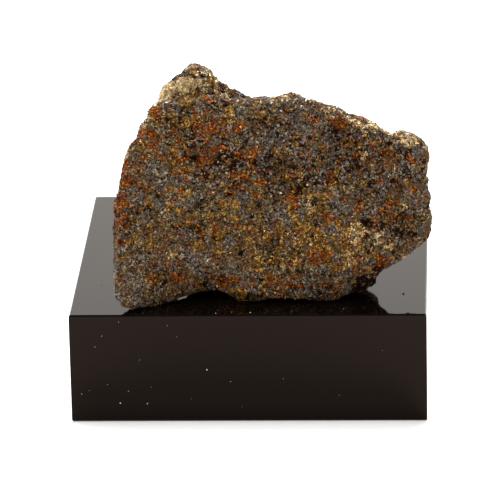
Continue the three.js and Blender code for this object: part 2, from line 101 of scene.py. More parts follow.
PATCHES: dict[Mineral, tuple[Patch, ...]] = {
    Mineral.GREY: (
        Patch(1.5, 9.8, 6.5, 3.2, 170, 0.5),
        Patch(6.4, 5.4, 3.0, 2.2, 0, 0.46),
        Patch(17.0, 0.5, 4.5, 5.0, 0, 0.46),
        Patch(13.0, 0.4, 2.6, 2.0, 0, 0.46),
        Patch(-16.0, 1.0, 3.5, 3.0, 0, 0.4),
        Patch(-16.5, -4.0, 3.0, 2.5, 0, 0.46),
        Patch(-10.0, -9.0, 6.0, 1.6, 170, 0.46),
        Patch(7.0, -12.0, 5.0, 2.0, 0, 0.46),
        Patch(-18.5, -13.0, 3.5, 2.0, 0, 0.34),
        Patch(-11.0, 17.0, 2.5, 1.6, 0, 0.4),
        Patch(-11.8, 7.0, 2.0, 1.2, 0, 0.4),
        Patch(-5.0, -1.0, 3.0, 2.0, 0, 0.36),
        Patch(9.0, -3.0, 2.5, 2.0, 0, 0.44),
    ),
    Mineral.TAN: (
        Patch(-11.0, -2.0, 6.0, 4.5, 0, 0.56),
        Patch(-18.0, -10.5, 4.0, 3.0, 0, 0.44),
        Patch(1.0, -3.5, 5.0, 3.5, 0, 0.44),
        Patch(-13.5, 12.5, 4.0, 2.0, 30, 0.4),
        Patch(10.0, -10.0, 5.0, 2.5, 0, 0.4),
        Patch(15.0, 9.0, 8.0, 1.2, 158, 0.46),
        Patch(-10.0, 17.0, 3.0, 2.2, 0, 0.5),
        Patch(13.5, 5.0, 2.0, 2.0, 0, 0.44),
    ),
    Mineral.RUST: (
        Patch(-9.5, 9.8, 6.0, 2.6, 0, 0.2),
        Patch(-6.5, 5.4, 6.0, 1.6, 0, 0.26),
        Patch(-20.8, 1.0, 6.0, 0.9, 85, 0.42),
        Patch(-2.8, 2.2, 3.2, 1.7, 0, 0.35),
        Patch(10.8, 9.8, 2.4, 1.6, 150, 0.34),
        Patch(17.5, 5.0, 3.5, 1.4, 0, 0.14),
        Patch(-15.6, 8.0, 2.8, 3.0, 60, 0.28),
        Patch(-14.5, -11.0, 4.0, 1.4, 0, 0.14),
        Patch(-8.0, -12.2, 5.0, 1.2, 0, 0.3),
        Patch(2.0, -12.4, 5.0, 1.2, 0, 0.26),
        Patch(16.5, -3.0, 3.0, 1.6, 0, 0.14),
        Patch(-8.6, 6.2, 1.7, 0.75, 40),
        Patch(-7.9, 9.8, 1.6, 0.8),
        Patch(-4.2, 9.9, 0.7, 0.6),
        Patch(-15.5, 12.4, 1.0, 0.6, 136),
        Patch(-18.2, 9.0, 0.9, 0.4, 65),
        Patch(-20.3, 4.6, 1.5, 0.4, 75),
        Patch(-21.0, -0.7, 0.8, 0.6, 80),
        Patch(-16.0, 7.8, 0.7, 0.5),
        Patch(-12.9, 5.4, 0.8, 0.4, 170, 0.6),
        Patch(-1.9, 6.4, 0.9, 0.6, 100),
        Patch(-3.4, 5.8, 0.6, 0.4, 30, 0.8),
        Patch(-3.2, 2.4, 1.0, 0.5, 150, 0.8),
        Patch(-1.9, 1.8, 0.5, 0.4, 45),
        Patch(-7.9, 1.0, 0.5, 0.3, 18),
        Patch(-8.0, -3.8, 0.7, 0.5, 124),
        Patch(-8.4, 14.0, 0.6, 0.4),
        Patch(10.0, 10.1, 1.0, 0.5, 14),
        Patch(6.1, 10.9, 0.6, 0.5, 0, 0.7),
        Patch(8.5, 2.2, 0.8, 0.5, 68, 0.8),
        Patch(8.0, -2.6, 0.7, 0.4, 160),
        Patch(3.6, 0.4, 0.7, 0.5, 0, 0.6),
        Patch(16.6, 5.8, 0.8, 0.5, 0, 0.55),
        Patch(19.9, 4.9, 0.6, 0.5),
        Patch(15.6, 2.2, 0.5, 0.4, 0, 0.8),
        Patch(16.3, -1.5, 0.5, 0.4, 0, 0.8),
        Patch(12.3, -2.0, 0.5, 0.4, 0, 0.8),
        Patch(17.4, -3.7, 0.9, 0.5, 45, 0.55),
        Patch(3.9, -1.0, 0.9, 0.7, 0, 0.44),
        Patch(19.0, -2.7, 0.9, 0.6, 0, 0.42),
        Patch(11.4, 10.9, 1.0, 0.5, 150, 0.48),
        Patch(12.6, -10.6, 0.9, 0.4, 10, 0.5),
        Patch(6.6, -8.3, 1.4, 0.5, 0),
        Patch(3.7, -10.9, 0.7, 0.4, 30),
        Patch(0.4, -12.0, 0.9, 0.4, 10),
        Patch(-6.2, -11.8, 1.6, 0.6, 172, 0.8),
        Patch(-16.9, -10.9, 1.0, 0.5, 10, 0.7),
        Patch(-12.6, -10.8, 0.7, 0.5, 0, 0.7),
        Patch(-15.5, -6.8, 0.5, 0.4, 0, 0.5),
        Patch(-14.2, -5.4, 0.5, 0.4, 0, 0.4),
        Patch(-21.3, -3.2, 1.3, 0.3, 85, 0.8),
    ),
    Mineral.HONEY: (
        Patch(9.0, -6.5, 5.5, 3.5, 0, 0.36),
        Patch(0.5, -7.5, 5.0, 3.5, 0, 0.28),
        Patch(4.4, -1.2, 2.4, 2.2, 0, 0.42),
        Patch(-10.0, 11.0, 6.0, 2.6, 0, 0.33),
        Patch(-14.0, 7.6, 3.0, 2.0, 0, 0.38),
        Patch(-12.0, -5.0, 6.0, 3.0, 0, 0.16),
        Patch(-1.0, 12.0, 6.0, 1.5, 0, 0.24),
        Patch(6.3, -7.4, 2.4, 1.0, 5, 0.7),
        Patch(9.6, -7.6, 1.1, 0.7, 60, 0.8),
        Patch(12.2, -4.9, 1.9, 1.5, 168, 0.54),
        Patch(5.4, -1.5, 1.3, 0.8, 104, 0.54),
        Patch(7.4, 0.2, 1.2, 0.4, 5, 0.8),
        Patch(8.5, 1.4, 0.5, 0.4, 0, 0.7),
        Patch(2.3, -4.5, 1.7, 1.3, 20, 0.52),
        Patch(-0.3, -11.8, 1.3, 0.5, 19, 0.8),
        Patch(1.2, -9.0, 1.1, 0.4, 10, 0.9),
        Patch(-1.6, -9.8, 1.3, 0.8, 120, 0.6),
        Patch(-3.2, -6.0, 0.6, 0.5),
        Patch(-6.4, -7.0, 1.4, 1.0, 0, 0.4),
        Patch(-7.5, 16.4, 0.9, 0.5, 114),
        Patch(-10.0, 11.3, 0.9, 0.4, 0, 0.8),
        Patch(-5.2, 11.6, 0.5, 0.4, 0, 0.8),
        Patch(-7.6, -5.2, 0.6, 0.5, 0, 0.5),
        Patch(-8.6, -5.8, 1.5, 0.5, 5, 0.4),
        Patch(-18.6, -4.7, 0.7, 0.5, 60, 0.7),
        Patch(13.0, 6.0, 0.7, 0.5, 120, 0.7),
        Patch(14.2, 4.0, 0.4, 0.4, 0, 0.8),
        Patch(17.8, -1.5, 0.8, 0.5, 140, 0.6),
        Patch(-4.6, -13.4, 1.4, 0.5, 170, 0.5),
        Patch(-12.8, -13.2, 1.0, 0.6, 0, 0.4),
        Patch(11.4, -9.2, 0.7, 0.5, 100, 0.7),
        Patch(4.5, 8.4, 0.7, 0.5, 0, 0.5),
        Patch(1.0, 6.8, 0.5, 0.4, 0, 0.6),
    ),
    # Partly painted highlight: the thin strips along the top right rim, from u 12 to 20, stand for the
    # light that the rim catches, and the ledge at the top left is cream ore whose paleness is partly the
    # light from above painted in.
    Mineral.CREAM: (
        Patch(-10.2, 17.6, 2.6, 1.8, 0, 0.17),
        Patch(15.5, 9.4, 7.0, 0.6, 159, 0.24),
        Patch(12.1, -5.2, 1.2, 0.9, 0, 0.42),
        Patch(5.5, -1.5, 1.3, 0.6, 104, 0.4),
        Patch(-14.5, 14.9, 2.0, 0.6, 38, 0.8),
        Patch(-11.9, 16.1, 2.2, 0.75, 12, 0.9),
        Patch(-8.8, 16.3, 1.3, 0.8, 0, 0.4),
        Patch(-5.3, 14.3, 1.5, 0.4, 160, 0.16),
        Patch(-7.0, 15.8, 0.6, 0.4, 63, 0.8),
        Patch(5.5, -1.3, 1.1, 0.4, 103, 0.42),
        Patch(14.9, -5.9, 0.7, 0.3, 100, 0.6),
        Patch(10.9, -9.0, 0.9, 0.4, 113, 0.5),
        Patch(13.4, 5.4, 0.6, 0.4, 90, 0.45),
        Patch(18.9, -1.9, 0.6, 0.3, 150, 0.3),
        Patch(2.6, -4.8, 0.6, 0.3, 60, 0.2),
        Patch(14.8, 9.4, 1.6, 0.4, 157, 0.4),
        Patch(12.4, 10.9, 1.0, 0.3, 140, 0.24),
        Patch(17.5, 8.6, 1.6, 0.4, 160, 0.4),
        Patch(19.4, 7.7, 1.4, 0.8, 150, 0.4),
        Patch(1.5, 13.8, 1.6, 0.25, 5, 0.4),
        Patch(-20.0, 6.6, 1.6, 0.2, 68, 0.5),
        Patch(-17.6, 10.6, 1.3, 0.2, 68, 0.5),
        Patch(16.6, -7.6, 1.0, 0.4, 35, 0.3),
        Patch(-8.4, -14.4, 0.9, 0.3, 10, 0.5),
        Patch(-13.2, -7.9, 1.1, 0.6, 0, 0.2),
    ),
    # Painted shade: these patches put dark grains where the dark pits and hollows are, and the long ones
    # at u -13.5 and 13.5 along the bottom edge are painted shadow where the stone curves under.
    Mineral.BLACK: (
        Patch(-4.6, 4.8, 4.8, 1.2, 0, 0.42),
        Patch(18.0, -4.2, 3.2, 2.0, 0, 0.36),
        Patch(1.5, 4.0, 5.0, 1.4, 0, 0.32),
        Patch(-13.5, -13.2, 2.5, 0.8, 0, 0.36),
        Patch(-8.0, -11.7, 2.5, 0.8, 0, 0.4),
        Patch(10.9, 5.3, 2.7, 3.3, 0, 0.44),
        Patch(-6.5, 13.3, 2.6, 0.8, 165, 0.44),
        Patch(2.5, 8.0, 1.6, 1.2, 0, 0.36),
        Patch(19.0, 5.5, 3.0, 1.8, 0, 0.3),
        Patch(-8.5, 3.0, 2.5, 1.0, 0, 0.36),
        Patch(13.5, -12.0, 3.0, 1.0, 35, 0.6),
        Patch(-6.5, 5.4, 0.8, 0.5, 88),
        Patch(-9.6, 5.3, 0.7, 0.35, 10, 0.56),
        Patch(-8.3, 3.0, 0.7, 0.45),
        Patch(-4.3, 5.0, 0.5, 0.4, 0, 0.4),
        Patch(-1.0, 3.3, 0.6, 0.45, 102),
        Patch(0.1, 5.5, 0.6, 0.35, 83),
        Patch(4.4, 1.1, 0.6, 0.45, 132),
        Patch(9.0, 8.8, 1.4, 0.8, 10, 0.46),
        Patch(18.6, 5.5, 0.5, 0.4),
        Patch(13.6, -4.0, 0.6, 0.4, 135),
        Patch(19.2, -4.9, 1.1, 0.5, 138, 0.8),
        Patch(17.9, -5.7, 0.8, 0.4, 30, 0.7),
        Patch(-9.2, -12.2, 0.8, 0.4, 164, 0.7),
        Patch(-13.9, 10.9, 0.7, 0.5, 100, 0.7),
        Patch(-17.0, -1.2, 0.7, 0.4, 0, 0.5),
        Patch(-3.8, -7.6, 0.7, 0.3, 0, 0.6),
        Patch(-9.3, -4.8, 0.5, 0.3, 0, 0.6),
    ),
}


# How much of each mineral there is everywhere, as the weight from which its clusters grow.
BACKGROUND = {
    Mineral.GREY: 0.36,
    Mineral.TAN: 0.3,
    Mineral.RUST: 0.07,
    Mineral.HONEY: 0.12,
    Mineral.CREAM: -0.2,
    Mineral.BLACK: 0.19,
}
# The width of each mineral's clusters of grains, in mm. Each takes its share of what those before it
# have left, and brown has the rest.
CLUSTER_MM = {
    Mineral.CREAM: 0.35,
    Mineral.BLACK: 0.45,
    Mineral.RUST: 1.0,
    Mineral.HONEY: 1.2,
    Mineral.GREY: 1.6,
    Mineral.TAN: 1.5,
}
# The weight, with its noise, at which a cluster starts and is full, and how much noise of the
# clusters' own width and of half that is added.
CLUSTER_EDGE = (0.27, 0.53)
CLUSTER_NOISE = (0.65, 0.3)
# The most that a patch adds of these, so that other grains break it up.
PATCH_CAP = {Mineral.CREAM: 0.75, Mineral.BLACK: 0.6, Mineral.RUST: 0.57, Mineral.HONEY: 0.57}
# The strength from which a patch counts at all, the strengths between which it comes to keep the other
# minerals' chance clusters out, and the part of their weight that they lose there.
OUTSKIRTS = 0.12
CLAIM_EDGE = (0.55, 0.85)
CLAIM_LOSS = 0.7
# How strongly a patch fades round its outline.
PATCH_FADE = 0.35
# How far the patches' outlines wander, and the length of one wave, in mm.
RAG = 0.7
RAG_WAVE = 1.1
# How much the background's weights drift over the stone, and the length of one wave in mm.
DRIFT = 0.25
DRIFT_WAVE = 5.0
# Where each use of the noise starts, and how far on it starts for each further mineral, so that no two
# patterns are alike.
RAG_STARTS = (11.0, 37.0)
DRIFT_START = 5.0
DRIFT_STRIDE = 7.0
CLUSTER_STARTS = (3.0, 9.0)
CLUSTER_STRIDE = 17.0
# Painted shade: pits get dark grains, which stand for the shade that falls in them: the weight they get,
# and the depths in mm where that starts and is full.
PIT_PAINTED_SHADE = 0.5
PIT_DEPTHS = (0.08, 0.3)


@dataclass(frozen=True)
class Fleck:
    """A speck of dust on the block: where it sits and its width, in mm, and its tone from 0 to 1."""

    x: float
    y: float
    z: float
    width: float
    tone: float = 0.1


DUST = (
    Fleck(-5.8, FRONT, 7.8, 0.26),
    Fleck(-14.3, FRONT, 2.7, 0.26),
    Fleck(-2.5, FRONT, 6.0, 0.16, 0.5),
    Fleck(-18.1, FRONT, 2.8, 0.2),
    Fleck(-18.0, FRONT, 15.0, 0.14, 0.5),
    Fleck(-20.4, FRONT, 12.9, 0.16, 0.5),
    Fleck(-21.4, FRONT, 11.3, 0.14, 0.5),
    Fleck(-23.5, FRONT, 4.2, 0.16, 0.5),
    Fleck(-22.4, FRONT, 4.7, 0.14, 0.5),
    Fleck(-16.9, FRONT, 4.6, 0.16, 0.5),
    Fleck(-13.7, FRONT, 5.2, 0.13, 0.5),
    Fleck(-9.9, FRONT, 12.8, 0.14, 0.5),
    Fleck(-11.2, FRONT, 14.4, 0.12, 0.5),
    Fleck(-19.8, FRONT, 5.6, 0.15, 0.5),
    Fleck(-15.2, FRONT, 9.3, 0.12, 0.5),
    Fleck(-8.1, FRONT, 3.4, 0.13, 0.5),
    Fleck(-1.0, FRONT, 2.2, 0.12, 0.5),
    Fleck(4.9, FRONT, 6.4, 0.12, 0.5),
    Fleck(12.7, FRONT, 3.9, 0.13, 0.5),
    Fleck(18.8, FRONT, 10.6, 0.12, 0.5),
    Fleck(-4.4, -24.4, TOP, 0.24, 0.3),
    Fleck(-2.2, -24.0, TOP, 0.18, 0.5),
    Fleck(0.4, -24.2, TOP, 0.2, 0.3),
    Fleck(6.2, -23.6, TOP, 0.14, 0.5),
    Fleck(13.4, -22.8, TOP, 0.14, 0.5),
    Fleck(-14.6, -24.2, TOP, 0.16, 0.5),
    Fleck(-21.2, -13.0, TOP, 0.15, 0.9),
    Fleck(21.7, -17.0, TOP, 0.4, 0.9),
)


def linear(hex_colour: str) -> tuple[float, float, float, float]:
    """Turns an sRGB hex colour into the linear colour that a shader takes.

    Args:
        hex_colour: Six hex digits after a hash.

    Returns:
        Linear red, green and blue, and 1 for an opaque colour.
    """
    channels = (int(hex_colour[i : i + 2], 16) / 255 for i in (1, 3, 5))
    red, green, blue = (c / 12.92 if c <= 0.04045 else ((c + 0.055) / 1.055) ** 2.4 for c in channels)
    return red, green, blue, 1.0


def first_output(node: bpy.types.Node) -> bpy.types.NodeSocket:
    """The first output that a node shows in the mode it is in."""
    return next(socket for socket in node.outputs if socket.enabled)


def add_node(
    tree: bpy.types.NodeTree,
    kind: str,
    inputs: dict[str | int, object] | None = None,
    **settings: object,
) -> bpy.types.Node:
    """Adds one node to a tree, with its settings, and fills or links its inputs.

    Args:
        tree: The node tree.
        kind: Blender's name of the node's type.
        inputs: For an input's name or number, a value, a socket, or a node whose first output it takes.
        **settings: Properties of the node itself.

    Returns:
        The new node.
    """
    node = tree.nodes.new(kind)
    for name, value in settings.items():
        setattr(node, name, value)
    for key, value in (inputs or {}).items():
        named = [s for s in node.inputs if s.enabled and s.name == key]
        target = node.inputs[key] if isinstance(key, int) else named[0]
        if isinstance(value, bpy.types.Node):
            value = first_output(value)
        if isinstance(value, bpy.types.NodeSocket):
            tree.links.new(value, target)
        else:
            target.default_value = value
    return node


def new_material(name: str) -> tuple[bpy.types.Material, bpy.types.NodeTree, bpy.types.Node]:
    """Makes a node material with one Principled shader on its output.

    Args:
        name: The material's name.

    Returns:
        The material, its node tree and the shader node.
    """
    material = bpy.data.materials.new(name)
    material.use_nodes = True
    tree = material.node_tree
    return material, tree, tree.nodes["Principled BSDF"]


def set_bands(ramp: bpy.types.ColorRamp, colours: tuple[str, ...]) -> None:
    """Divides a colour ramp into bands of one width.

    Args:
        ramp: The colour ramp.
        colours: The bands' colours in sRGB hex, from 0 to 1.
    """
    ramp.interpolation = "CONSTANT"
    while len(ramp.elements) < len(colours):
        ramp.elements.new(1.0)
    for i, hex_colour in enumerate(colours):
        ramp.elements[i].position = i / len(colours)
        ramp.elements[i].color = linear(hex_colour)


def add_object(name: str, data: bpy.types.ID) -> bpy.types.Object:
    """Puts a mesh, a light or a camera in the scene.

    Args:
        name: The object's name.
        data: The mesh, the light or the camera.

    Returns:
        The new object.
    """
    thing = bpy.data.objects.new(name, data)
    bpy.context.scene.collection.objects.link(thing)
    return thing


def coordinates_of(mesh: bpy.types.Mesh) -> np.ndarray:
    """Reads the places of a mesh's points.

    Args:
        mesh: The mesh.

    Returns:
        One row of x, y and z in metres for each point.
    """
    flat = np.empty(len(mesh.vertices) * 3, np.float32)
    mesh.vertices.foreach_get("co", flat)
    return flat.reshape(-1, 3).astype(float)


def smoothstep(low: float, high: float, x: np.ndarray) -> np.ndarray:
    """Rises smoothly from 0 at low to 1 at high, for each value of x."""
    t = np.clip((x - low) / (high - low), 0.0, 1.0)
    return t * t * (3.0 - 2.0 * t)


def evaluated_mesh(carrier: bpy.types.Object, name: str) -> bpy.types.Mesh:
    """The plain mesh that an object's modifiers give.

    Args:
        carrier: The object with its modifiers.
        name: The new mesh's name.

    Returns:
        A mesh with its attributes and materials.
    """
    depsgraph = bpy.context.evaluated_depsgraph_get()
    mesh = bpy.data.meshes.new_from_object(
        carrier.evaluated_get(depsgraph), preserve_all_data_layers=True, depsgraph=depsgraph
    )
    mesh.name = name
    return mesh


def run_tree(
    carrier: bpy.types.Object, tree: bpy.types.NodeTree, values: dict[str, object], name: str
) -> bpy.types.Mesh:
    """Runs a Geometry Nodes tree on an object and takes the result as a plain mesh.

    Args:
        carrier: The object whose mesh the tree reads.
        tree: The Geometry Nodes tree.
        values: A value for each of the tree's named inputs.
        name: The new mesh's name.

    Returns:
        The mesh that the tree makes. The carrier has no modifier left.
    """
    modifier = carrier.modifiers.new(tree.name, "NODES")
    modifier.node_group = tree
    for item in tree.interface.items_tree:
        if item.in_out == "INPUT" and item.name in values:
            modifier[item.identifier] = values[item.name]
    carrier.update_tag()
    bpy.context.view_layer.update()
    mesh = evaluated_mesh(carrier, name)
    carrier.modifiers.remove(modifier)
    return mesh


def new_tree(
    name: str, inputs: dict[str, str]
) -> tuple[bpy.types.NodeTree, dict[str, bpy.types.NodeSocket]]:
    """Makes an empty Geometry Nodes tree with named inputs.

    Args:
        name: The tree's name.
        inputs: For each input's name, Blender's name of its socket type.

    Returns:
        The tree, and the socket that gives each input, by the input's name.
    """
    tree = bpy.data.node_groups.new(name, "GeometryNodeTree")
    geometry = "NodeSocketGeometry"
    tree.interface.new_socket(name="Geometry", in_out="INPUT", socket_type=geometry)
    for label, kind in inputs.items():
        tree.interface.new_socket(name=label, in_out="INPUT", socket_type=kind)
    tree.interface.new_socket(name="Geometry", in_out="OUTPUT", socket_type=geometry)
    given = add_node(tree, "NodeGroupInput")
    return tree, {socket.name: socket for socket in given.outputs}


def keep_above(
    tree: bpy.types.NodeTree, geometry: bpy.types.Node, sole: bpy.types.NodeSocket
) -> bpy.types.Node:
    """Lifts every point that is under the sole's level up to it.

    Args:
        tree: The Geometry Nodes tree.
        geometry: The node whose points are kept above the level.
        sole: The socket that gives the level.

    Returns:
        The node with the lifted points.
    """
    place = add_node(tree, "GeometryNodeInputPosition")
    parts = add_node(tree, "ShaderNodeSeparateXYZ", {"Vector": place})
    lifted = add_node(tree, "ShaderNodeMath", {0: parts.outputs["Z"], 1: sole}, operation="MAXIMUM")
    point = add_node(
        tree, "ShaderNodeCombineXYZ", {"X": parts.outputs["X"], "Y": parts.outputs["Y"], "Z": lifted}
    )
    return add_node(tree, "GeometryNodeSetPosition", {"Geometry": geometry, "Position": point})


def end_tree(
    tree: bpy.types.NodeTree, geometry: bpy.types.Node, finish: bpy.types.NodeSocket | None = None
) -> None:
    """Ends a tree: shades the faces flat, sets their material and hands them out.

    Args:
        tree: The Geometry Nodes tree.
        geometry: The node that makes the faces.
        finish: The socket that gives the material, in a tree that sets one.
    """
    last = add_node(tree, "GeometryNodeSetShadeSmooth", {"Geometry": geometry, "Shade Smooth": False})
    if finish is not None:
        last = add_node(tree, "GeometryNodeSetMaterial", {"Geometry": last, "Material": finish})
    add_node(tree, "NodeGroupOutput", {"Geometry": last})


@dataclass(frozen=True)
class GrainFinish:
    """Freshly broken mineral grains: flat cleavage faces, each grain of one tone.

    Every grain takes one of a few tones by its own number, so that the stone reads as a mixture, and
    the flat faces catch the light one by one, which the eye sees as a glitter. The grains with the
    highest numbers are smoother and glossier than the rest.
    """

    name: str
    tones: tuple[str, ...]
    roughness: float
    ior: float = 1.15
    glinting: float = 0.05
    glint_smoothing: float = 0.2
    glint_gloss: float = 0.45
    mottle_mm: float = 1.4
    mottle: float = 0.12
    pitting_mm: float = 0.07
    pitting_depth_mm: float = 0.02
    pitting: float = 0.3

    def build(self) -> bpy.types.Material:
        """Makes the material.

        Returns:
            A node material that reads each grain's tone attribute.
        """
        material, tree, shader = new_material(self.name)
        tone = add_node(tree, "ShaderNodeAttribute", attribute_name="tone").outputs["Fac"]
        ramp = add_node(tree, "ShaderNodeValToRGB", {"Fac": tone})
        set_bands(ramp.color_ramp, self.tones)
        place = add_node(tree, "ShaderNodeTexCoord").outputs["Object"]
        mottle = add_node(
            tree,
            "ShaderNodeTexNoise",
            {"Vector": place, "Scale": 1 / (self.mottle_mm * MM), "Detail": 3.0},
        )
        low, high = NOISE_RANGE
        shade = add_node(
            tree,
            "ShaderNodeMapRange",
            {
                "Value": mottle,
                "From Min": low,
                "From Max": high,
                "To Min": 1.0 - self.mottle,
                "To Max": 1.0 + self.mottle,
            },
        )
        tinted = add_node(tree, "ShaderNodeVectorMath", {0: ramp, "Scale": shade}, operation="SCALE")
        tree.links.new(tinted.outputs["Vector"], shader.inputs["Base Color"])
        pitting = add_node(
            tree,
            "ShaderNodeTexNoise",
            {"Vector": place, "Scale": 1 / (self.pitting_mm * MM), "Detail": 1.0},
        )
        bump = add_node(
            tree,
            "ShaderNodeBump",
            {"Height": pitting, "Strength": self.pitting, "Distance": self.pitting_depth_mm * MM},
        )
        tree.links.new(bump.outputs["Normal"], shader.inputs["Normal"])
        glint = add_node(
            tree, "ShaderNodeMath", {0: tone, 1: 1.0 - self.glinting}, operation="GREATER_THAN"
        )
        for label, change, plain in (
            ("Roughness", -self.glint_smoothing, self.roughness),
            ("IOR", self.glint_gloss, self.ior),
        ):
            value = add_node(
                tree, "ShaderNodeMath", {0: glint, 1: change, 2: plain}, operation="MULTIPLY_ADD"
            )
            tree.links.new(value.outputs[0], shader.inputs[label])
        return material


@dataclass(frozen=True)
class GroundmassFinish:
    """Broken ore between the grains: earthy, unevenly stained, in the colours of the patch it is in.

    It is what shows in the gaps between the grains, so it is kept darker than them as painted shade there,
    and almost without gloss.
    """

    name: str = "Sphalerite ore, rough break"
    # Painted shade: the plain tones are kept dark, as the shade in the gaps between the grains.
    plain: tuple[str, ...] = ("#1b1108", "#2c1d10", "#3d2c1a", "#22160c", "#493825")
    stains_and_shade: tuple[tuple[Mineral, str], ...] = (
        (Mineral.RUST, "#4f1d08"),
        (Mineral.HONEY, "#54380f"),
        # The cream stain follows the cream share, and so carries the painted rim light as well.
        (Mineral.CREAM, "#8c7550"),
        # Painted shade: the black stain follows the black share, which darkens the pits and the bottom
        # edge.
        (Mineral.BLACK, "#100703"),
    )
    cell_mm: float = 0.33
    grit_mm: float = 0.15
    grit_depth_mm: float = 0.05
    grit: float = 0.6
    roughness: float = 0.8
    ior: float = 1.12

    def build(self) -> bpy.types.Material:
        """Makes the material.

        Returns:
            A node material that reads the shares of the minerals.
        """
        material, tree, shader = new_material(self.name)
        place = add_node(tree, "ShaderNodeTexCoord").outputs["Object"]
        cells = add_node(
            tree, "ShaderNodeTexVoronoi", {"Vector": place, "Scale": 1 / (self.cell_mm * MM)}
        )
        number = add_node(tree, "ShaderNodeSeparateColor", {"Color": cells.outputs["Color"]})
        colour = add_node(tree, "ShaderNodeValToRGB", {"Fac": number.outputs["Red"]})
        set_bands(colour.color_ramp, self.plain)
        for mineral, stain in self.stains_and_shade:
            share = add_node(tree, "ShaderNodeAttribute", attribute_name=mineral.value)
            colour = add_node(
                tree,
                "ShaderNodeMix",
                {"Factor": share.outputs["Fac"], "A": colour, "B": linear(stain)},
                data_type="RGBA",
            )
        tree.links.new(first_output(colour), shader.inputs["Base Color"])
        grit = add_node(
            tree, "ShaderNodeTexNoise", {"Vector": place, "Scale": 1 / (self.grit_mm * MM), "Detail": 2.0}
        )
        bump = add_node(
            tree,
            "ShaderNodeBump",
            {"Height": grit, "Strength": self.grit, "Distance": self.grit_depth_mm * MM},
        )
        tree.links.new(bump.outputs["Normal"], shader.inputs["Normal"])
        shader.inputs["Roughness"].default_value = self.roughness
        shader.inputs["IOR"].default_value = self.ior
        return material


@dataclass(frozen=True)
class AcrylicFinish:
    """Cast black acrylic, diamond-cut and polished on every side.

    It is so dark that only its reflections show: the bright sweep behind it makes the top grey, and the
    front stays nearly black. Its gloss is uneven where it was wiped, with a few hairlines from handling.
    """

    name: str = "Black acrylic, polished"
    colour: str = "#050302"
    tint: str = "#f2d2c4"
    roughness: float = 0.03
    ior: float = 1.22
    smear_mm: float = 9.0
    smears: tuple[float, float] = (0.35, 0.75)
    hairline_turns: tuple[float, ...] = (0.35, 1.9)
    # Hairlines 11 mm long and 0.17 mm wide, which is far wider than real ones, so that they show.
    hairlines_per_m: tuple[float, float, float] = (90.0, 6000.0, 6000.0)
    hairlines: tuple[float, float] = (0.74, 0.78)
    hairline_roughness: float = 0.12

    def build(self) -> bpy.types.Material:
        """Makes the material.

        Returns:
            A node material in object coordinates.
        """
        material, tree, shader = new_material(self.name)
        place = add_node(tree, "ShaderNodeTexCoord").outputs["Object"]
        smears = add_node(
            tree, "ShaderNodeTexNoise", {"Vector": place, "Scale": 1 / (self.smear_mm * MM), "Detail": 3.0}
        )
        gloss = add_node(
            tree,
            "ShaderNodeMapRange",
            {
                "Value": smears,
                "From Min": self.smears[0],
                "From Max": self.smears[1],
                "To Min": self.roughness,
                "To Max": self.roughness * 2,
            },
        )
        for turn in self.hairline_turns:
            lengthwise = add_node(
                tree,
                "ShaderNodeMapping",
                {"Vector": place, "Rotation": (0.0, 0.0, turn), "Scale": self.hairlines_per_m},
            )
            streaks = add_node(
                tree, "ShaderNodeTexNoise", {"Vector": lengthwise, "Scale": 1.0, "Detail": 1.0}
            )
            hairline = add_node(
                tree,
                "ShaderNodeMapRange",
                {
                    "Value": streaks,
                    "From Min": self.hairlines[0],
                    "From Max": self.hairlines[1],
                    "To Min": 0.0,
                    "To Max": self.hairline_roughness,
                },
            )
            gloss = add_node(tree, "ShaderNodeMath", {0: gloss, 1: hairline}, operation="ADD")
        tree.links.new(gloss.outputs[0], shader.inputs["Roughness"])
        shader.inputs["Base Color"].default_value = linear(self.colour)
        shader.inputs["Specular Tint"].default_value = linear(self.tint)
        shader.inputs["IOR"].default_value = self.ior
        return material


@dataclass(frozen=True)
class Chips:
    """One size of chip: its width in mm, its slope, and its step up or down in mm."""

    width: float
    slope: float
    step: float


